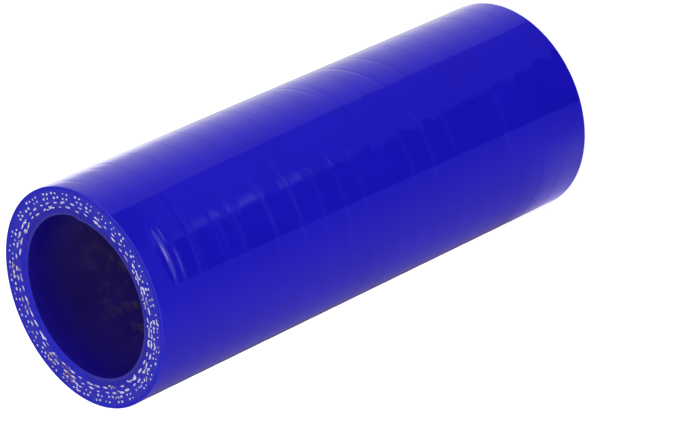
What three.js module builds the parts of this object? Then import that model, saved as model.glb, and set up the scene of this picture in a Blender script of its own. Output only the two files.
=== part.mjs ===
// Straight silicone hose coupler: fabric plies cured in silicone rubber as one piece, cut
// square at both ends and standing on one of them. Millimetres, +Z along the hose, origin at
// the centre of the lower cut end.

import * as THREE from 'three';

const { degToRad, euclideanModulo, smoothstep } = THREE.MathUtils;

// Driving dimensions
const hoseLength = 100;
const boreDiameter = 28;
const wallThickness = 5;

// The bore lies a little off centre, towards -Y, so the wall is thinner on that side
const boreShift = 0.7;

// Small round that the knife leaves on each arris of a cut end
const arrisRound = 0.3;
const arrisSteps = 2;

// The inner ply's edge laps over itself and pushes a low step into the bore, which then fades
// out clockwise
const lapStep = 0.4;
const lapAngle = degToRad(-27);
const lapRise = degToRad(6);
const lapFade = degToRad(90);

// Marks of the cure tape: shallow shingles that climb clockwise round the outside, each one
// rising to the edge of a turn of tape and dropping past it
const tapePitch = 5.3;
const tapeStart = 3.3; // height of one tape edge at angle 0
const tapeRelief = 0.08;
const tapeEdge = 0.6; // height of the drop past an edge

// Colour and facets
const hoseBlue = '#1f1ab4';
const hoseRoughness = 0.25;
const columns = 72;

const outerRadius = boreDiameter / 2 + wallThickness;
const fullTurn = 2 * Math.PI;
const columnStep = fullTurn / columns;

// Levels of a section's stages lie this far apart, more than any height of the hose
const stageGap = 10 * hoseLength;

// How far the tape's helix drops between angle 0 and this angle
function helixDrop(angle) {
  return (tapePitch * angle) / fullTurn;
}

// Radius of the outside at an angle and height; its largest value is the outer radius
function outsideRadius(angle, z) {
  const pastEdge = euclideanModulo(z + helixDrop(angle) - tapeStart, tapePitch);
  const share = pastEdge < tapeEdge
    ? 1 - pastEdge / tapeEdge
    : (pastEdge - tapeEdge) / (tapePitch - tapeEdge);
  return outerRadius - tapeRelief * (1 - share);
}

// Radius of the bore about its own axis, with the lap's step and its fade
function boreRadius(angle) {
  const clockwise = euclideanModulo(lapAngle - angle, fullTurn);
  const rise = smoothstep(clockwise, 0, lapRise);
  const fade = 1 - smoothstep(clockwise, lapRise, lapRise + lapFade);
  return boreDiameter / 2 - lapStep * rise * fade;
}

// Points of a quarter round between a cut face and a wall: how far each lies in from the face
// and back from the wall
const arris = Array.from({ length: arrisSteps + 1 }, (_, step) => {
  const turn = (step / arrisSteps) * (Math.PI / 2);
  return { in: arrisRound * (1 - Math.cos(turn)), back: arrisRound * (1 - Math.sin(turn)) };
});

// Heights where the outside bends at an angle: the edge and the foot of each shingle, kept
// clear of the rounded arrises
function tapeBends(angle) {
  const lowest = 2 * arrisRound;
  const highest = hoseLength - 2 * arrisRound;
  const bends = [];
  const firstEdge = tapeStart - helixDrop(angle);
  const firstTurn = Math.floor((lowest - tapeEdge - firstEdge) / tapePitch);
  const lastTurn = Math.ceil((highest - firstEdge) / tapePitch);
  for (let turn = firstTurn; turn <= lastTurn; turn++) {
    const edge = firstEdge + turn * tapePitch;
    bends.push(edge, edge + tapeEdge);
  }
  return bends.filter((z) => z > lowest && z < highest);
}

// The wall's section at one angle, once round: up the outside, across the upper cut face and
// down the bore. A row's level is the same at every angle and grows along the section, so
// it tells which rows of two neighbouring sections belong together.
function wallSection(angle) {
  const ray = new THREE.Vector3(Math.cos(angle), Math.sin(angle), 0);
  const outside = (z, back) => ray.clone().multiplyScalar(outsideRadius(angle, z) - back).setZ(z);
  const bore = (z, back) => {
    const point = ray.clone().multiplyScalar(boreRadius(angle) + back);
    return point.add(new THREE.Vector3(0, -boreShift, z));
  };
  const stages = [
    arris.map((corner, at) => ({ order: at, point: outside(corner.in, corner.back) })),
    tapeBends(angle).map((z) => ({ order: z + helixDrop(angle), point: outside(z, 0) })),
    arris.toReversed().map((corner, at) => (
      { order: at, point: outside(hoseLength - corner.in, corner.back) }
    )),
    arris.map((corner, at) => ({ order: at, point: bore(hoseLength - corner.in, corner.back) })),
    arris.toReversed().map((corner, at) => ({ order: at, point: bore(corner.in, corner.back) })),
  ];
  return stages.flatMap((rows, stage) => (
    rows.map(({ order, point }) => ({ level: stage * stageGap + order, point }))
  ));
}

// Joins two neighbouring sections with triangles that face out of the wall
function joinSections(left, right, triangles) {
  const sameLevel = 1e-6;
  const levelOf = (rows, at) => (at < rows.length ? rows[at].level : Infinity);
  let l = 0;
  let r = 0;
  while (l < left.length - 1 || r < right.length - 1) {
    const nextLeft = levelOf(left, l + 1);
    const nextRight = levelOf(right, r + 1);
    if (nextLeft < nextRight + sameLevel) {
      triangles.push(left[l].index, right[r].index, left[l + 1].index);
      l += 1;
    }
    if (nextRight < nextLeft + sameLevel) {
      triangles.push(left[l].index, right[r].index, right[r + 1].index);
      r += 1;
    }
  }
}

// The whole wall as one closed surface
function hoseGeometry() {
  const points = [];
  const sections = [];
  for (let column = 0; column < columns; column++) {
    const rows = wallSection(lapAngle + column * columnStep);
    for (const row of rows) {
      row.index = points.length;
      points.push(row.point);
    }
    sections.push(rows);
  }
  // A turn further on, the first section meets the rows of the last one
  const closing = wallSection(lapAngle + fullTurn);
  closing.forEach((row, at) => {
    row.index = sections[0][at].index;
  });
  sections.push(closing);

  const triangles = [];
  const topLevel = Math.max(...closing.map((row) => row.level)) + stageGap;
  const closeUp = (rows) => [...rows, { level: topLevel, index: rows[0].index }];
  for (let column = 0; column < columns; column++) {
    joinSections(closeUp(sections[column]), closeUp(sections[column + 1]), triangles);
  }
  const geometry = new THREE.BufferGeometry().setFromPoints(points);
  geometry.setIndex(triangles);
  geometry.computeVertexNormals();
  return geometry;
}

const hose = new THREE.Mesh(
  hoseGeometry(),
  new THREE.MeshStandardMaterial({ color: hoseBlue, roughness: hoseRoughness, metalness: 0 }),
);
hose.name = 'hose';

const group = new THREE.Group();
group.add(hose);

export default group;
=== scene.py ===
"""Silicone hose coupler, standing on one cut end and seen from the photograph's angle."""

import math
import random
from functools import partial

import bpy
import numpy as np
from mathutils import Matrix, Vector


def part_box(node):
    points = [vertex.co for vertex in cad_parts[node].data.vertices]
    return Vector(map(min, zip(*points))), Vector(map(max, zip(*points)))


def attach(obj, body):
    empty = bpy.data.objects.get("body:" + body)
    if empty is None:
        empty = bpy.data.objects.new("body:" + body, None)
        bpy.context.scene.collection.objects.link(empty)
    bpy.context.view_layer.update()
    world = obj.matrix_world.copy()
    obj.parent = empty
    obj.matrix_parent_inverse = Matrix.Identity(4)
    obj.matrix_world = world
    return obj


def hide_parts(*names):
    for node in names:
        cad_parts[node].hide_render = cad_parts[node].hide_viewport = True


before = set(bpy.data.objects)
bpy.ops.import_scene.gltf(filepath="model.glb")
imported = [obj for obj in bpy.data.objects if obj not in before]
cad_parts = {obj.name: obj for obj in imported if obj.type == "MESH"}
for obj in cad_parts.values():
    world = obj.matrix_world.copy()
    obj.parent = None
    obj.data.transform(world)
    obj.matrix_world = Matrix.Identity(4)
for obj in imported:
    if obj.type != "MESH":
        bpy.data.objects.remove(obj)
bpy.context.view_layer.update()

MM = 0.001
TURN = 2 * math.pi

# The hose, from the frame's box, with the bore and the lap step of the CAD model
box_low, box_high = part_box("hose")
HOSE_LENGTH = box_high.z
OUTER_RADIUS = (box_high.x - box_low.x) / 2
BORE_RADIUS = 14.0 * MM
BORE_SHIFT = 0.7 * MM  # the bore's axis lies this far towards -Y
LAP_ANGLE = math.radians(-27)
LAP_RISE = math.radians(6)
LAP_FADE = math.radians(90)
LAP_STEP = 0.4 * MM

# Small round along both edges of a cut face, finer than the CAD model's
ARRIS_ROUND = 0.08 * MM

# The rubber of a cut face lies a little below the yarn that stands out of it
FACE_SINK = 0.05 * MM

# Marks of the cure tape: shingles all round that climb clockwise, shallower than the CAD model's
TAPE_PITCH = 5.3 * MM
TAPE_START = 3.3 * MM
TAPE_RELIEF = 0.02 * MM
TAPE_EDGE = 0.8 * MM  # height over which a shingle drops back

# Single creases where the tape pulled tight: distance from the upper end in millimetres, middle
# angle and half span in degrees, depth in millimetres, share of paler painted highlight in it
CREASES = (
    (2.7, -20, 18, 0.030, 0.0),
    (4.5, -87, 14, 0.240, 0.0),
    (5.6, -79, 9, 0.050, 0.1),
    (6.4, -94, 14, 0.052, 0.2),
    (8.4, -15, 14, 0.035, 0.0),
    (11.0, -14, 14, 0.035, 0.0),
    (11.1, -88, 30, 0.006, 0.14),
    (16.6, -92, 24, 0.010, 0.13),
    (20.1, -88, 30, 0.015, 0.19),
    (26.9, -88, 32, 0.020, 0.26),
    (32.6, -86, 36, 0.025, 0.26),
    (37.7, -100, 44, 0.035, 0.14),
    (38.0, -24, 28, 0.024, 0.0),
    (42.5, -102, 42, 0.035, 0.12),
    (47.0, -98, 46, 0.035, 0.09),
    (50.9, -26, 26, 0.030, 0.0),
    (52.4, -26, 24, 0.016, 0.0),
    (58.5, -96, 46, 0.035, 0.09),
    (62.0, -26, 40, 0.050, 0.0),
    (63.6, -90, 44, 0.035, 0.14),
    (68.9, -88, 42, 0.035, 0.10),
    (67.7, -28, 24, 0.035, 0.0),
    (81.5, -92, 44, 0.035, 0.09),
    (87.0, -92, 44, 0.035, 0.07),
    (90.5, -24, 24, 0.026, 0.0),
)
CREASE_WIDTH = 0.4 * MM
CREASE_FULL_SHARE = 0.1  # share of its half span that a crease runs at full depth
CREASE_BOW = 3.0 * MM  # a crease bows towards the upper end away from this angle
CREASE_BOW_ANGLE = math.radians(-85)

# Rings of yarn in a cut face, one for each ply: radius, shift towards +Y, spacing of the bundles,
# yarns in a bundle, their spacing, length along the ring and width, in millimetres
YARN_RINGS = (
    (17.86, 0.12, 2.8, 2, 0.95, 0.46, 0.40),
    (17.07, 0.03, 2.8, 2, 0.95, 0.52, 0.44),
    (16.27, -0.08, 2.0, 1, 0.00, 1.30, 0.38),
    (15.45, -0.18, 2.1, 1, 0.00, 1.40, 0.38),
)
YARN_SEED = 11
YARN_WHITE = (0.68, 0.66, 0.8)
MISSING_SHARE = 0.04  # of the bundles
BUNDLE_SCATTER = 0.1  # along the ring, as a share of the spacing
RING_SCATTER = 0.07  # across the ring, in millimetres
HEADING_SCATTER = 0.12  # in radians
YARN_SIZES = (0.6, 1.25)  # shares of a ring's length and width

# Dome of a yarn end: depth of its foot, and its shoulder as shares of its width and height
YARN_DEPTH = 1.5 * FACE_SINK
SHOULDER_WIDTH = 0.75
SHOULDER_HEIGHT = 0.85

# Frayed spots: middle angle and half span in degrees, first and last ring, threads, shade
FRAYED_SPOTS = (
    (170, 5, 1, 3, 9, "tan"),
    (136, 3, 0, 1, 6, "white"),
    (127, 6, 1, 3, 22, "brown"),
    (114, 4, 1, 2, 14, "tan"),
    (101, 4, 3, 3, 5, "white"),
    (78, 4, 2, 3, 6, "tan"),
    (58, 5, 1, 3, 12, "tan"),
    (36, 3, 2, 3, 4, "tan"),
    (25, 4, 2, 3, 7, "white"),
    (-7, 5, 3, 3, 5, "white"),
    (-54, 4, 2, 3, 7, "white"),
    (-93, 8, 2, 3, 12, "white"),
    (-109, 5, 2, 3, 8, "white"),
    (-122, 4, 0, 3, 12, "white"),
    (-133, 4, 0, 3, 11, "white"),
    (-157, 10, 1, 2, 12, "white"),
    (-171, 5, 3, 3, 5, "white"),
)

# Frayed yarn: shade, colour, seed of its draws
FRAYED_YARN = (
    ("white", (0.78, 0.76, 0.86), 7),
    ("tan", (0.6, 0.46, 0.4), 5),
    ("brown", (0.3, 0.16, 0.2), 3),
)
THREAD_RING_SCATTER = 0.14  # across the ring, in millimetres
THREAD_HEADING_SCATTER = 0.4  # in radians
THREAD_LENGTHS = (0.4, 1.1)  # in millimetres, as the widths
THREAD_WIDTHS = (0.18, 0.34)

# Mesh density
COLUMNS = 120
OUTSIDE_ROWS = 560
BORE_ROWS = 24
FACE_ROWS = 6
ARRIS_ROWS = 4
YARN_SIDES = 8

# Material slots of the hose
CUT_SLOT = 1
WALL_SLOTS = {"outside": 0, "bore": 2}

# The photograph's camera
PHOTO_WIDTH = 680
FOCAL_PX = 3604.3
SENSOR_WIDTH_MM = 36.0
CAMERA_PLACE = (-5.15 * MM, -476.8 * MM, 429.1 * MM)
CAMERA_DOWN = math.radians(38.883)
CAMERA_ROLL = math.radians(-114.946)


def smoothstep(value, low, high):
    share = np.clip((value - low) / (high - low), 0, 1)
    return share * share * (3 - 2 * share)


def angle_between(angle, middle):
    return np.mod(angle - middle + math.pi, TURN) - math.pi


def crease_marks(angle, z):
    """Depth and painted highlight of all creases together: each fades towards both its ends."""
    from_top = HOSE_LENGTH - z
    bow = CREASE_BOW * (1 - np.cos(angle - CREASE_BOW_ANGLE))
    total_depth, total_painted_highlight = 0, 0
    for place, middle, half_span, depth, painted_highlight in CREASES:
        middle, half_span = math.radians(middle), math.radians(half_span)
        bow_at_middle = CREASE_BOW * (1 - math.cos(middle - CREASE_BOW_ANGLE))
        across = (from_top + bow - bow_at_middle - place * MM) / CREASE_WIDTH
        from_middle = np.abs(angle_between(angle, middle))
        along = 1 - smoothstep(from_middle, CREASE_FULL_SHARE * half_span, half_span)
        mark = along * np.exp(-across ** 2)
        total_depth = total_depth + depth * MM * mark
        total_painted_highlight = total_painted_highlight + painted_highlight * mark
    return total_depth, total_painted_highlight


def outside_radius(angle, z):
    past_edge = np.mod(z + TAPE_PITCH * angle / TURN - TAPE_START, TAPE_PITCH)
    rise = smoothstep(past_edge, TAPE_EDGE, TAPE_PITCH)
    drop = smoothstep(past_edge, 0, TAPE_EDGE)
    shingle = TAPE_RELIEF * (drop - rise)
    return OUTER_RADIUS - shingle - crease_marks(angle, z)[0]


def bore_radius(angle):
    clockwise = np.mod(LAP_ANGLE - angle, TURN)
    rise = smoothstep(clockwise, 0, LAP_RISE)
    fade = 1 - smoothstep(clockwise, LAP_RISE, LAP_RISE + LAP_FADE)
    return BORE_RADIUS - LAP_STEP * rise * fade


def hose_section():
    """Rows of the wall once round: surface, height, and distance back from it or share across."""
    top, bottom = HOSE_LENGTH - FACE_SINK, FACE_SINK
    turns = [math.pi / 2 * k / ARRIS_ROWS for k in range(ARRIS_ROWS + 1)]
    arris = [(ARRIS_ROUND * (1 - math.cos(a)), ARRIS_ROUND * (1 - math.sin(a))) for a in turns]
    low, high = bottom + ARRIS_ROUND, top - ARRIS_ROUND
    rows = [("outside", bottom + inset, back) for inset, back in arris]
    rows += [("outside", low + (high - low) * k / OUTSIDE_ROWS, 0) for k in range(1, OUTSIDE_ROWS)]
    rows += [("outside", top - inset, back) for inset, back in reversed(arris)]
    rows += [("face", top, k / FACE_ROWS) for k in range(1, FACE_ROWS)]
    rows += [("bore", top - inset, back) for inset, back in arris]
    rows += [("bore", high - (high - low) * k / BORE_ROWS, 0) for k in range(1, BORE_ROWS)]
    rows += [("bore", bottom + inset, back) for inset, back in reversed(arris)]
    rows += [("face", bottom, 1 - k / FACE_ROWS) for k in range(1, FACE_ROWS)]
    return rows


def hose_points(section):
    """Points, painted highlights and shares across the wall, row by row."""
    angles = np.arange(COLUMNS) * TURN / COLUMNS
    ray = np.stack([np.cos(angles), np.sin(angles)], 1)
    shift = np.array([0, -BORE_SHIFT])
    points, painted_highlights, shares = [], [], []
    for surface, z, extra in section:
        outside_back = extra if surface == "outside" else ARRIS_ROUND
        bore_back = extra if surface == "bore" else ARRIS_ROUND
        outside = ray * (outside_radius(angles, z) - outside_back)[:, None]
        bore = shift + ray * (bore_radius(angles) + bore_back)[:, None]
        between = outside + (bore - outside) * extra
        flat = {"outside": outside, "bore": bore, "face": between}[surface]
        points.append(np.column_stack([flat, np.full(COLUMNS, z)]))
        painted_highlights.append(crease_marks(angles, z)[1])
        shares.append(np.full(COLUMNS, {"outside": 0, "bore": 1, "face": extra}[surface]))
    return np.concatenate(points), np.concatenate(painted_highlights), np.concatenate(shares)


def hose_faces(section):
    """Faces between the rows and the slot of each; the rounded arrises belong to the cut."""
    faces, slots = [], []
    for row, (surface, _, extra) in enumerate(section):
        following = (row + 1) % len(section)
        next_surface, _, next_extra = section[following]
        on_wall = surface == next_surface and extra == next_extra == 0
        this, above = row * COLUMNS, following * COLUMNS
        for c in range(COLUMNS):
            d = (c + 1) % COLUMNS
            faces.append((this + c, this + d, above + d, above + c))
            slots.append(WALL_SLOTS[surface] if on_wall else CUT_SLOT)
    return faces, slots


def build_hose():
    section = hose_section()
    points, painted_highlights, shares = hose_points(section)
    faces, slots = hose_faces(section)
    mesh = bpy.data.meshes.new("hose_rubber")
    mesh.from_pydata(points.tolist(), [], faces)
    for name, values in (("painted_highlight", painted_highlights), ("share_across", shares)):
        mesh.attributes.new(name, "FLOAT", "POINT").data.foreach_set("value", values)
    for material in (silicone_material(), cut_material(), bore_material()):
        mesh.materials.append(material)
    mesh.polygons.foreach_set("material_index", slots)
    mesh.polygons.foreach_set("use_smooth", [slot != CUT_SLOT for slot in slots])
    hose = bpy.data.objects.new("hose_rubber", mesh)
    bpy.context.collection.objects.link(hose)
    return hose


def add_yarn_end(points, faces, place, heading, length, width, up):
    """One cut yarn: a low dome on the cut face, longer along its heading."""
    foot = HOSE_LENGTH - YARN_DEPTH if up else YARN_DEPTH
    crown = HOSE_LENGTH if up else 0
    shoulder_height = foot + (crown - foot) * SHOULDER_HEIGHT
    along = np.array([math.cos(heading), math.sin(heading)]) * length / 2
    aside = np.array([-math.sin(heading), math.cos(heading)]) * width / 2
    first = len(points)
    for share, height in ((1.0, foot), (SHOULDER_WIDTH, shoulder_height)):
        for k in range(YARN_SIDES):
            turn = TURN * k / YARN_SIDES
            x, y = place + share * (along * math.cos(turn) + aside * math.sin(turn))
            points.append((x, y, height))
    points.append((*place, crown))
    ring = [first + k for k in range(YARN_SIDES)]
    shoulder = [index + YARN_SIDES for index in ring]
    tip = first + 2 * YARN_SIDES
    new = [tuple(reversed(ring))]
    for k in range(YARN_SIDES):
        n = (k + 1) % YARN_SIDES
        new.append((ring[k], ring[n], shoulder[n], shoulder[k]))
        new.append((shoulder[k], shoulder[n], tip))
    faces.extend(new if up else [tuple(reversed(face)) for face in new])


def on_ring(radius, shift, angle):
    return np.array([radius * math.cos(angle), radius * math.sin(angle) + shift]) * MM


def yarn_object(name, points, faces, material):
    mesh = bpy.data.meshes.new(name)
    mesh.from_pydata(points, [], faces)
    mesh.shade_smooth()
    mesh.materials.append(material)
    yarn = bpy.data.objects.new(name, mesh)
    bpy.context.collection.objects.link(yarn)
    return yarn


def add_yarn_ring(points, faces, draw, ring, up):
    """One ring of yarn ends on a cut face, in bundles with some of them missing."""
    radius, shift, spacing, yarns, gap, length, width = ring
    bundles = round(TURN * radius / spacing)
    start = draw.uniform(0, TURN)
    for bundle in range(bundles):
        stray = draw.gauss(0, BUNDLE_SCATTER) * spacing / radius
        middle = start + TURN * bundle / bundles + stray
        if draw.random() < MISSING_SHARE:
            continue
        for yarn in range(yarns):
            angle = middle + (yarn - (yarns - 1) / 2) * gap / radius
            place = on_ring(radius + draw.gauss(0, RING_SCATTER), shift, angle)
            heading = angle + math.pi / 2 + draw.gauss(0, HEADING_SCATTER)
            size = draw.uniform(*YARN_SIZES)
            add_yarn_end(points, faces, place, heading, length * size * MM, width * size * MM, up)


def build_yarn_ends():
    draw = random.Random(YARN_SEED)
    points, faces = [], []
    for up in (True, False):
        for ring in YARN_RINGS:
            add_yarn_ring(points, faces, draw, ring, up)
    return yarn_object("yarn_ends", points, faces, yarn_material("yarn_white", YARN_WHITE))


def build_frayed_yarn(shade, colour, seed):
    draw = random.Random(seed)
    points, faces = [], []
    for middle, half_span, first, last, threads, spot_shade in FRAYED_SPOTS:
        if spot_shade != shade:
            continue
        for _ in range(threads):
            radius, shift = YARN_RINGS[draw.randint(first, last)][:2]
            angle = math.radians(middle + draw.uniform(-half_span, half_span))
            place = on_ring(radius + draw.gauss(0, THREAD_RING_SCATTER), shift, angle)
            heading = angle + math.pi / 2 + draw.gauss(0, THREAD_HEADING_SCATTER)
            length = draw.uniform(*THREAD_LENGTHS) * MM
            width = draw.uniform(*THREAD_WIDTHS) * MM
            add_yarn_end(points, faces, place, heading, length, width, True)
    material = yarn_material(f"yarn_frayed_{shade}", colour)
    return yarn_object(f"frayed_{shade}", points, faces, material)


# Sockets of a Mix node set to colours
MIX_SHARE = 0
MIX_FIRST = 6
MIX_SECOND = 7
MIX_RESULT = 2

# Spans of a noise's values: nearly all of them, the middle ones, and two of the higher ones
NOISE_SPAN = (0.3, 0.7)
PATCH_SPAN = (0.35, 0.65)
MOTTLE_SPAN = (0.48, 0.64)
SMEAR_SPAN = (0.52, 0.66)

# Outside: the two blues of its clouds, and the paler colour painted in a crease as its highlight
OUTSIDE_BLUES = ((0.0078, 0.0052, 0.385), (0.0084, 0.0058, 0.415))
OUTSIDE_PAINTED_HIGHLIGHT = (0.030, 0.027, 0.44)
RIPPLE_HEIGHT = 0.003 * MM
RUBBER_IOR = 1.42

# Cut face: the plies fill a ring about their middle radius, out to a soft edge. The dull part and
# the lip's painted highlight start at these shares across the wall, and end towards +Y at these
# values of Y.
CUT_BLUES = ((0.009, 0.009, 0.51), (0.015, 0.015, 0.56))
CUT_PLIES = (0.034, 0.031, 0.47)
CUT_DULL = (0.018, 0.015, 0.38)
CUT_LIP_HIGHLIGHT = (0.038, 0.032, 0.36)
PLY_MIDDLE = 16.75 * MM
PLY_EDGE = (1.4 * MM, 1.9 * MM)
NEAR_SIDE_END = (3 * MM, 13 * MM)
DULL_START = (0.55, 0.85)
LIP_HIGHLIGHT_START = (0.91, 0.95)
TEAR_HEIGHT = 0.05 * MM
CUT_IOR = 1.3

# Bore: bare rubber; the two colours of a paler, browner painted reflection from -X to +X; the same
# deeper in; and its mottle
BORE_BARE = (0.008, 0.0030, 0.20)
BORE_PAINTED_REFLECTION = ((0.096, 0.048, 0.58), (0.112, 0.062, 0.43))
BORE_DEEP_PAINTED_REFLECTION = ((0.080, 0.046, 0.54), (0.110, 0.066, 0.38))
BORE_MOTTLE = (0.21, 0.145, 0.40)
BROWN_TURN = (-10 * MM, 12 * MM)
PAINTED_REFLECTION_DEPTHS = (1.5 * MM, 18 * MM)
DEEP_PAINTED_REFLECTION_DEPTHS = (9 * MM, 20 * MM)
GRAIN_HEIGHT = 0.02 * MM
BORE_IOR = 1.15

# Yarn: its darkest shade as a share of its colour, and the smear of rubber on it
YARN_SHADING = 0.6
YARN_SMEAR = (0.12, 0.12, 0.55)
FIBRE_HEIGHT = 0.03 * MM


def new_material(name):
    material = bpy.data.materials.new(name)
    material.use_nodes = True
    material.node_tree.nodes.clear()
    return material, material.node_tree


def object_place(tree):
    return tree.nodes.new("ShaderNodeTexCoord").outputs["Object"]


def axes_of(tree, place):
    """X, Y and Z of a place, by name."""
    split = tree.nodes.new("ShaderNodeSeparateXYZ")
    tree.links.new(place, split.inputs[0])
    return split.outputs


def noise(tree, scale, detail=2, stretch=(1, 1, 1)):
    """Noise over the object's own space, in waves per metre."""
    mapping = tree.nodes.new("ShaderNodeMapping")
    mapping.inputs["Scale"].default_value = stretch
    texture = tree.nodes.new("ShaderNodeTexNoise")
    texture.inputs["Scale"].default_value = scale
    texture.inputs["Detail"].default_value = detail
    tree.links.new(object_place(tree), mapping.inputs["Vector"])
    tree.links.new(mapping.outputs["Vector"], texture.inputs["Vector"])
    return texture.outputs["Fac"]


def attribute(tree, name):
    node = tree.nodes.new("ShaderNodeAttribute")
    node.attribute_name = name
    return node.outputs["Fac"]


def mapped(tree, value, low, high, to_low, to_high):
    """Value eased from one range to another, and held level outside it."""
    node = tree.nodes.new("ShaderNodeMapRange")
    node.interpolation_type = "SMOOTHSTEP"
    node.inputs["From Min"].default_value = low
    node.inputs["From Max"].default_value = high
    node.inputs["To Min"].default_value = to_low
    node.inputs["To Max"].default_value = to_high
    tree.links.new(value, node.inputs["Value"])
    return node.outputs["Result"]


def varied(tree, scale, low, high, detail=2, span=NOISE_SPAN):
    """Value that wanders between two levels over the surface."""
    return mapped(tree, noise(tree, scale, detail), *span, low, high)


def mixed(tree, share, first, second):
    """Mix of two colours, each a socket or three numbers."""
    node = tree.nodes.new("ShaderNodeMix")
    node.data_type = "RGBA"
    tree.links.new(share, node.inputs[MIX_SHARE])
    for value, socket in ((first, node.inputs[MIX_FIRST]), (second, node.inputs[MIX_SECOND])):
        if isinstance(value, tuple):
            socket.default_value = (*value, 1)
        else:
            tree.links.new(value, socket)
    return node.outputs[MIX_RESULT]


def maths(tree, operation, *values):
    node = tree.nodes.new("ShaderNodeMath")
    node.operation = operation
    for value, socket in zip(values, node.inputs):
        if isinstance(value, (int, float)):
            socket.default_value = value
        else:
            tree.links.new(value, socket)
    return node.outputs[0]


def both(tree, first, second):
    """Share where two shares overlap."""
    return maths(tree, "MULTIPLY", first, second)


def off(tree, value, middle):
    """How far a value lies from a middle, either way."""
    return maths(tree, "ABSOLUTE", maths(tree, "SUBTRACT", value, middle))


def squared_radius(tree, axes):
    """Square of the distance from the Z axis."""
    x, y = axes["X"], axes["Y"]
    return maths(tree, "MULTIPLY_ADD", x, x, maths(tree, "MULTIPLY", y, y))


def bumped(tree, height, distance):
    node = tree.nodes.new("ShaderNodeBump")
    node.inputs["Distance"].default_value = distance
    tree.links.new(height, node.inputs["Height"])
    return node.outputs["Normal"]


def finished(material, tree, colour, roughness, normal, ior=RUBBER_IOR):
    shader = tree.nodes.new("ShaderNodeBsdfPrincipled")
    shader.inputs["IOR"].default_value = ior
    tree.links.new(colour, shader.inputs["Base Color"])
    tree.links.new(roughness, shader.inputs["Roughness"])
    tree.links.new(normal, shader.inputs["Normal"])
    output = tree.nodes.new("ShaderNodeOutputMaterial")
    tree.links.new(shader.outputs["BSDF"], output.inputs["Surface"])
    return material


def silicone_material():
    """Glossy outside: cloudy deep blue, painted highlight in creases, fine ripples round the hose.
    """
    material, tree = new_material("blue_silicone")
    cloudy = mixed(tree, varied(tree, scale=90, detail=3, low=0, high=1), *OUTSIDE_BLUES)
    # A paler colour painted along the creases stands in for their highlight
    colour = mixed(tree, attribute(tree, "painted_highlight"), cloudy, OUTSIDE_PAINTED_HIGHLIGHT)
    roughness = varied(tree, scale=160, low=0.03, high=0.055)
    ripples = noise(tree, scale=350, stretch=(1, 1, 4))
    return finished(material, tree, colour, roughness, bumped(tree, ripples, RIPPLE_HEIGHT))


def cut_material():
    """Cut face: torn, pale in plies; on -Y dull towards the bore, with a painted lip highlight."""
    material, tree = new_material("cut_silicone")
    axes = axes_of(tree, object_place(tree))
    radius = maths(tree, "SQRT", squared_radius(tree, axes))
    plies = mapped(tree, off(tree, radius, PLY_MIDDLE), *PLY_EDGE, 1, 0)
    patches = varied(tree, scale=500, detail=4, span=PATCH_SPAN, low=0.3, high=1)
    rubber = mixed(tree, varied(tree, scale=300, detail=4, low=0, high=1), *CUT_BLUES)
    woven = mixed(tree, both(tree, plies, patches), rubber, CUT_PLIES)

    near = mapped(tree, axes["Y"], *NEAR_SIDE_END, 1, 0)
    across = attribute(tree, "share_across")
    dull = both(tree, near, mapped(tree, across, *DULL_START, 0, 1))
    # A pale colour painted on the bore's lip on -Y stands in for its highlight
    lip_highlight = both(tree, near, mapped(tree, across, *LIP_HIGHLIGHT_START, 0, 1))
    colour = mixed(tree, lip_highlight, mixed(tree, dull, woven, CUT_DULL), CUT_LIP_HIGHLIGHT)
    roughness = varied(tree, scale=900, low=0.5, high=0.7)
    tear = noise(tree, scale=1500, detail=3, stretch=(1, 0.25, 1))
    return finished(material, tree, colour, roughness, bumped(tree, tear, TEAR_HEIGHT), CUT_IOR)


def bore_material():
    """Bore: dull blue near an end, then a paler painted reflection, browner deep inside and to +X.
    """
    material, tree = new_material("bore_silicone")
    axes = axes_of(tree, object_place(tree))
    half_length = HOSE_LENGTH / 2
    depth = maths(tree, "SUBTRACT", half_length, off(tree, axes["Z"], half_length))
    brown = mapped(tree, axes["X"], *BROWN_TURN, 0, 1)
    patches = varied(tree, scale=150, detail=3, span=PATCH_SPAN, low=0.75, high=1)
    # Deeper in, a paler and browner colour is painted as the bore's reflection
    reflection_share = both(tree, mapped(tree, depth, *PAINTED_REFLECTION_DEPTHS, 0, 1), patches)
    with_reflection = mixed(tree, reflection_share, BORE_BARE, mixed(tree, brown, *BORE_PAINTED_REFLECTION))
    deep = mapped(tree, depth, *DEEP_PAINTED_REFLECTION_DEPTHS, 0, 1)
    deepened = mixed(tree, deep, with_reflection, mixed(tree, brown, *BORE_DEEP_PAINTED_REFLECTION))
    mottle = varied(tree, scale=420, detail=6, span=MOTTLE_SPAN, low=0, high=1)
    colour = mixed(tree, both(tree, deep, mottle), deepened, BORE_MOTTLE)
    roughness = varied(tree, scale=200, low=0.5, high=0.7)
    grain = noise(tree, scale=1200)
    return finished(material, tree, colour, roughness, bumped(tree, grain, GRAIN_HEIGHT), BORE_IOR)


def yarn_material(name, colour):
    """Cut yarn: dull fibres, part of them smeared with blue rubber."""
    material, tree = new_material(name)
    shade = varied(tree, scale=2500, low=0, high=0.35)
    shaded = mixed(tree, shade, colour, tuple(YARN_SHADING * part for part in colour))
    smear = varied(tree, scale=500, span=SMEAR_SPAN, low=0, high=0.8)
    stained = mixed(tree, smear, shaded, YARN_SMEAR)
    roughness = varied(tree, scale=900, low=0.8, high=0.95)
    fibres = noise(tree, scale=6000)
    return finished(material, tree, stained, roughness, bumped(tree, fibres, FIBRE_HEIGHT))
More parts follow.
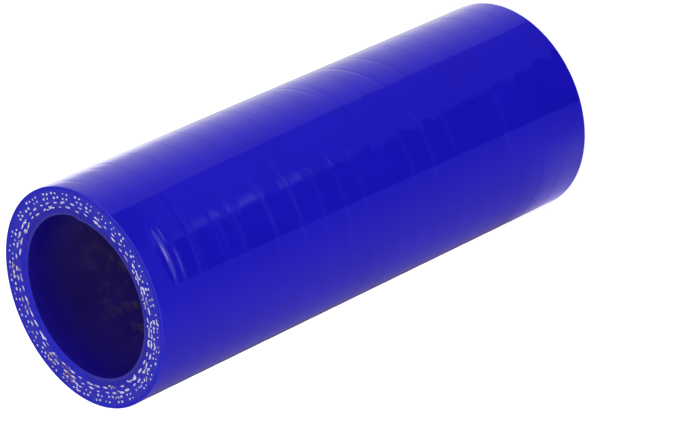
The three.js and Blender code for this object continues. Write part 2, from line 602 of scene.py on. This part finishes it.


# Studio around the hose, painted on the floor as the reflection its gloss shows to the camera; the
# floor glows with it for mirror rays only. A spot of the floor is named by the place on the wall
# that mirrors it: angle in degrees, distance from the top.

# Colours around the cards: wall angle and colour
GLOSS_RAMP = (
    (-183, (0.45, 0.42, 0.50)),
    (-178, (0.17, 0.14, 0.15)),
    (-172, (0.17, 0.14, 0.15)),
    (-168, (0.24, 0.20, 0.26)),
    (-158, (0.28, 0.23, 0.40)),
    (-150, (0.30, 0.26, 0.48)),
    (-140, (0.35, 0.28, 0.64)),
    (-130, (0.35, 0.29, 0.80)),
    (-120, (0.32, 0.26, 1.12)),
    (-106, (0.19, 0.16, 1.17)),
    (-53, (0.41, 0.34, 1.45)),
    (-40, (0.75, 0.64, 1.48)),
    (-32, (0.90, 0.83, 1.45)),
    (-26, (0.98, 0.91, 1.40)),
    (-18, (1.05, 1.00, 1.28)),
    (-12, (1.10, 1.06, 1.17)),
    (-8, (0.84, 0.82, 0.94)),
    (-3, (0.56, 0.54, 0.65)),
    (3, (0.45, 0.42, 0.50)),
)
GLOSS_PEAK = 1.5  # the ramp node holds shares of this level

# More of the same light on +X near the upper end, and a colour of its own on -X near the foot
TOP_GLOW = 1.0
TOP_GLOW_REACH = (8 * MM, 38 * MM)
TOP_GLOW_ANGLES = (-22, -9)
FOOT_GLOW = (0.66, 0.58, 1.0)
FOOT_GLOW_REACH = (84 * MM, 98 * MM)
FOOT_GLOW_ANGLES = (-132, -115)

# Sides of the dim card and the dark card, which meet at the middle one: wall angle in degrees at
# the top, the middle and the foot
RIGHT_SIDE = (-58.0, -54.0, -53.0)
MIDDLE_SIDE = (-82.4, -81.6, -76.2)
LEFT_SIDE = (-102.9, -103.7, -104.5)
SIDE_BLUR = 0.5
MIDDLE_TEETH = 4.0  # height of the teeth of the ragged middle side, in degrees
TEETH_SCALE = 260
TEETH_DETAIL = 4
TOOTH_SPAN = (0.35, 0.65)  # of the noise that cuts the teeth

# Colours of the cards, and of their ends near the top
DIM_CARD = (0.15, 0.12, 0.97)
DIM_CARD_END = (0.07, 0.05, 0.35)
DARK_CARD = (0.01, 0.01, 0.03)
DARK_CARD_END = (0.18, 0.14, 1.1)
CARD_END = (5 * MM, 8 * MM)

# Light through the ragged gap between the cards: colour, angles over which it fades out, the two
# stretches along the hose, and how the teeth break it up
GAP_GLOW = (0.95, 0.85, 1.8)
GAP_FADE_ANGLES = (0.5, 6.0)
GAP_STRETCHES = ((8.5 * MM, 28 * MM), (34 * MM, 39.5 * MM))
GAP_STRETCH_FADE = 1.5 * MM
GAP_TEETH_SPAN = (0.2, 0.8)
GAP_LEAST = 0.05

# Floor further out than the upright wall mirrors it, so that only creases and arrises show it: its
# level, and a bright patch about one angle
FAR_LEVEL = (0.45, 0.42, 0.5)
FAR_REACH = (-60 * MM, -2 * MM)
PATCH_GLOW = (1.2, 1.15, 1.7)
PATCH_REACH = (-22 * MM, -2 * MM)
PATCH_ANGLE = -87
PATCH_HALF_SPANS = (24, 50)

MIRROR_ROUNDS = 4  # steps that close in on the mirroring wall angle


def mirrored_wall(tree):
    """Wall angle in degrees and distance from the top that mirror this spot of the floor."""
    calc = partial(maths, tree)
    axes = axes_of(tree, tree.nodes.new("ShaderNodeNewGeometry").outputs["Position"])
    distance_squared = squared_radius(tree, axes)
    azimuth = calc("ARCTAN2", axes["Y"], axes["X"])
    behind = calc("GREATER_THAN", azimuth, TURN / 4)
    azimuth = calc("MULTIPLY_ADD", behind, -TURN, azimuth)
    angle = calc("MULTIPLY_ADD", azimuth, 0.5, -TURN / 8)
    for _ in range(MIRROR_ROUNDS):
        cosine, sine = calc("COSINE", angle), calc("SINE", angle)
        across = calc("MULTIPLY", cosine, OUTER_RADIUS)
        along = calc("MULTIPLY", sine, OUTER_RADIUS)
        reach = calc("SUBTRACT", distance_squared, calc("MULTIPLY", across, across))
        run = calc("ADD", along, calc("SQRT", calc("MAXIMUM", reach, 0)))
        side = calc("MULTIPLY", run, cosine)
        ahead = calc("SUBTRACT", OUTER_RADIUS, calc("MULTIPLY", run, sine))
        heading = calc("SUBTRACT", azimuth, calc("ARCTAN2", side, ahead))
        angle = calc("MULTIPLY", calc("ADD", angle, heading), 0.5)
    wall_gap = -CAMERA_PLACE[1] - OUTER_RADIUS
    height = calc("DIVIDE", calc("MULTIPLY", run, CAMERA_PLACE[2]), calc("ADD", run, wall_gap))
    from_top = calc("SUBTRACT", HOSE_LENGTH, height)
    return calc("MULTIPLY", angle, 360 / TURN), from_top


def past_side(tree, angle, from_top, side):
    """Degrees past a card's side, a parabola through its angles at the top, middle and foot."""
    top, middle, foot = side
    curve = 2 * top - 4 * middle + 2 * foot
    slope = 4 * middle - 3 * top - foot
    share = maths(tree, "DIVIDE", from_top, HOSE_LENGTH)
    bend = maths(tree, "MULTIPLY_ADD", share, curve, slope)
    return maths(tree, "SUBTRACT", angle, maths(tree, "MULTIPLY_ADD", share, bend, top))


def past_blur(tree, degrees):
    """Share past a side, eased over its blur."""
    return mapped(tree, degrees, -SIDE_BLUR, SIDE_BLUR, 0, 1)


def surroundings(tree, angle, from_top):
    """Colour around the cards, with the glows at the top and the foot."""
    ramp = tree.nodes.new("ShaderNodeValToRGB")
    stops = ramp.color_ramp.elements
    while len(stops) < len(GLOSS_RAMP):
        stops.new(1.0)
    first_angle, last_angle = GLOSS_RAMP[0][0], GLOSS_RAMP[-1][0]
    span = last_angle - first_angle
    for stop, (stop_angle, colour) in zip(stops, GLOSS_RAMP):
        stop.position = (stop_angle - first_angle) / span
        stop.color = (*(part / GLOSS_PEAK for part in colour), 1)
    share = maths(tree, "DIVIDE", maths(tree, "SUBTRACT", angle, first_angle), span)
    tree.links.new(share, ramp.inputs[0])

    on_right = mapped(tree, angle, *TOP_GLOW_ANGLES, 0, 1)
    top = both(tree, on_right, mapped(tree, from_top, *TOP_GLOW_REACH, 1, 0))
    level = tree.nodes.new("ShaderNodeVectorMath")
    level.operation = "SCALE"
    tree.links.new(ramp.outputs["Color"], level.inputs[0])
    tree.links.new(maths(tree, "MULTIPLY_ADD", top, TOP_GLOW, GLOSS_PEAK), level.inputs["Scale"])

    on_left = mapped(tree, angle, *FOOT_GLOW_ANGLES, 1, 0)
    foot = both(tree, on_left, mapped(tree, from_top, *FOOT_GLOW_REACH, 0, 1))
    return mixed(tree, foot, level.outputs[0], FOOT_GLOW)


def with_cards(tree, around, angle, from_top, past_middle):
    """Lays the dim card on the right of the middle side and the dark card on its left."""

    def between(left, right):
        short_of_right = maths(tree, "SUBTRACT", 1, past_blur(tree, right))
        return both(tree, past_blur(tree, left), short_of_right)

    past_right = past_side(tree, angle, from_top, RIGHT_SIDE)
    past_left = past_side(tree, angle, from_top, LEFT_SIDE)
    at_end = mapped(tree, from_top, *CARD_END, 1, 0)
    dim = mixed(tree, at_end, DIM_CARD, DIM_CARD_END)
    dark = mixed(tree, at_end, DARK_CARD, DARK_CARD_END)
    with_dim = mixed(tree, between(past_middle, past_right), around, dim)
    return mixed(tree, between(past_left, past_middle), with_dim, dark)


def gap_share(tree, from_top, past_middle, tooth):
    """Share of the gap's light: past the middle side, in the stretches and between the teeth."""

    def stretch(start, end):
        begun = mapped(tree, from_top, start - GAP_STRETCH_FADE, start + GAP_STRETCH_FADE, 0, 1)
        ended = mapped(tree, from_top, end - GAP_STRETCH_FADE, end + GAP_STRETCH_FADE, 1, 0)
        return both(tree, begun, ended)

    fading = mapped(tree, past_middle, *GAP_FADE_ANGLES, 1, 0)
    across = both(tree, past_blur(tree, past_middle), fading)
    along = maths(tree, "ADD", *(stretch(start, end) for start, end in GAP_STRETCHES))
    broken = mapped(tree, tooth, *GAP_TEETH_SPAN, GAP_LEAST, 1)
    return both(tree, both(tree, across, along), broken)


def painted_reflection_colour(tree):
    """The studio as the hose mirrors it, painted on the floor as a reflection."""
    angle, from_top = mirrored_wall(tree)
    teeth = tree.nodes.new("ShaderNodeTexNoise")
    teeth.noise_dimensions = "1D"
    teeth.inputs["Scale"].default_value = TEETH_SCALE
    teeth.inputs["Detail"].default_value = TEETH_DETAIL
    tree.links.new(from_top, teeth.inputs["W"])
    tooth = mapped(tree, teeth.outputs["Fac"], *TOOTH_SPAN, 0, 1)
    centred = maths(tree, "SUBTRACT", tooth, 0.5)
    straight = past_side(tree, angle, from_top, MIDDLE_SIDE)
    past_middle = maths(tree, "MULTIPLY_ADD", centred, -MIDDLE_TEETH, straight)

    around = surroundings(tree, angle, from_top)
    carded = with_cards(tree, around, angle, from_top, past_middle)
    near = mixed(tree, gap_share(tree, from_top, past_middle, tooth), carded, GAP_GLOW)
    with_far = mixed(tree, mapped(tree, from_top, *FAR_REACH, 1, 0), near, FAR_LEVEL)
    at_patch = mapped(tree, off(tree, angle, PATCH_ANGLE), *PATCH_HALF_SPANS, 1, 0)
    patch = both(tree, mapped(tree, from_top, *PATCH_REACH, 1, 0), at_patch)
    return mixed(tree, patch, with_far, PATCH_GLOW)


FLOOR_HALF_WIDTH = 3.0
FLOOR_ALBEDO = 0.85
FLOOR_LIFT = 0.55  # brings the floor to white for the camera, and keeps its shadow


def floor_material():
    """White floor with a soft shadow for the camera, and a painted reflection for rays off a gloss.
    """
    material, tree = new_material("floor")
    studio = tree.nodes.new("ShaderNodeEmission")
    tree.links.new(painted_reflection_colour(tree), studio.inputs["Color"])
    white = tree.nodes.new("ShaderNodeBsdfDiffuse")
    white.inputs["Color"].default_value = (FLOOR_ALBEDO, FLOOR_ALBEDO, FLOOR_ALBEDO, 1)
    lift = tree.nodes.new("ShaderNodeEmission")
    lift.inputs["Strength"].default_value = FLOOR_LIFT
    lifted = tree.nodes.new("ShaderNodeAddShader")
    tree.links.new(white.outputs[0], lifted.inputs[0])
    tree.links.new(lift.outputs[0], lifted.inputs[1])

    path = tree.nodes.new("ShaderNodeLightPath")
    surface = white.outputs[0]
    for ray, shown in (("Is Camera Ray", lifted), ("Is Glossy Ray", studio)):
        choice = tree.nodes.new("ShaderNodeMixShader")
        tree.links.new(path.outputs[ray], choice.inputs[0])
        tree.links.new(surface, choice.inputs[1])
        tree.links.new(shown.outputs[0], choice.inputs[2])
        surface = choice.outputs[0]
    output = tree.nodes.new("ShaderNodeOutputMaterial")
    tree.links.new(surface, output.inputs["Surface"])
    return material


def build_floor():
    half = FLOOR_HALF_WIDTH
    corners = [(-half, -half, 0), (half, -half, 0), (half, half, 0), (-half, half, 0)]
    mesh = bpy.data.meshes.new("floor")
    mesh.from_pydata(corners, [], [(0, 1, 2, 3)])
    mesh.materials.append(floor_material())
    floor = bpy.data.objects.new("floor", mesh)
    bpy.context.collection.objects.link(floor)


# Softboxes: name, place and size in metres, power in watts. The strip lights the deepest crease.
SOFTBOXES = (
    ("top_softbox", (0, -0.1, 0.95), (0.5, 0.5), 2.2),
    ("right_softbox", (0.8, -0.3, 0.28), (0.9, 0.5), 3.2),
    ("front_softbox", (-0.2, -0.85, 0.28), (1.2, 0.5), 1.8),
    ("strip_softbox", (0.185, -0.830, 0.248), (0.36, 0.185), 0.95),
    ("left_softbox", (-0.8, -0.25, 0.28), (0.9, 0.5), 2.8),
)
WORLD_LEVEL = 0.4  # of the grey sky; the camera sees white


def add_softbox(name, place, size, power):
    data = bpy.data.lights.new(name, "AREA")
    data.shape = "RECTANGLE"
    data.size, data.size_y = size
    data.energy = power
    lamp = bpy.data.objects.new(name, data)
    lamp.location = place
    aim = Vector((0, 0, HOSE_LENGTH / 2)) - Vector(place)
    lamp.rotation_mode = "QUATERNION"
    lamp.rotation_quaternion = aim.to_track_quat("-Z", "Y")
    bpy.context.collection.objects.link(lamp)


def build_light():
    world = bpy.data.worlds.new("studio")
    bpy.context.scene.world = world
    world.use_nodes = True
    tree = world.node_tree
    background = tree.nodes["Background"]
    background.inputs["Color"].default_value = (1, 1, 1, 1)
    path = tree.nodes.new("ShaderNodeLightPath")
    strength = mapped(tree, path.outputs["Is Camera Ray"], 0, 1, WORLD_LEVEL, 1)
    tree.links.new(strength, background.inputs["Strength"])
    for softbox in SOFTBOXES:
        add_softbox(*softbox)


def build_camera():
    data = bpy.data.cameras.new("camera")
    data.sensor_width = SENSOR_WIDTH_MM
    data.lens = FOCAL_PX * SENSOR_WIDTH_MM / PHOTO_WIDTH
    camera = bpy.data.objects.new("camera", data)
    camera.location = CAMERA_PLACE
    camera.rotation_mode = "QUATERNION"
    pitch = Matrix.Rotation(TURN / 4 - CAMERA_DOWN, 4, "X")
    roll = Matrix.Rotation(CAMERA_ROLL, 4, "Z")
    camera.rotation_quaternion = (pitch @ roll).to_quaternion()
    bpy.context.collection.objects.link(camera)
    bpy.context.scene.camera = camera


build_camera()
build_light()
build_floor()

hose = build_hose()
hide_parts("hose")
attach(hose, "root")
for yarn in (build_yarn_ends(), *(build_frayed_yarn(*kind) for kind in FRAYED_YARN)):
    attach(yarn, "root")

bpy.context.scene.view_settings.view_transform = "Standard"
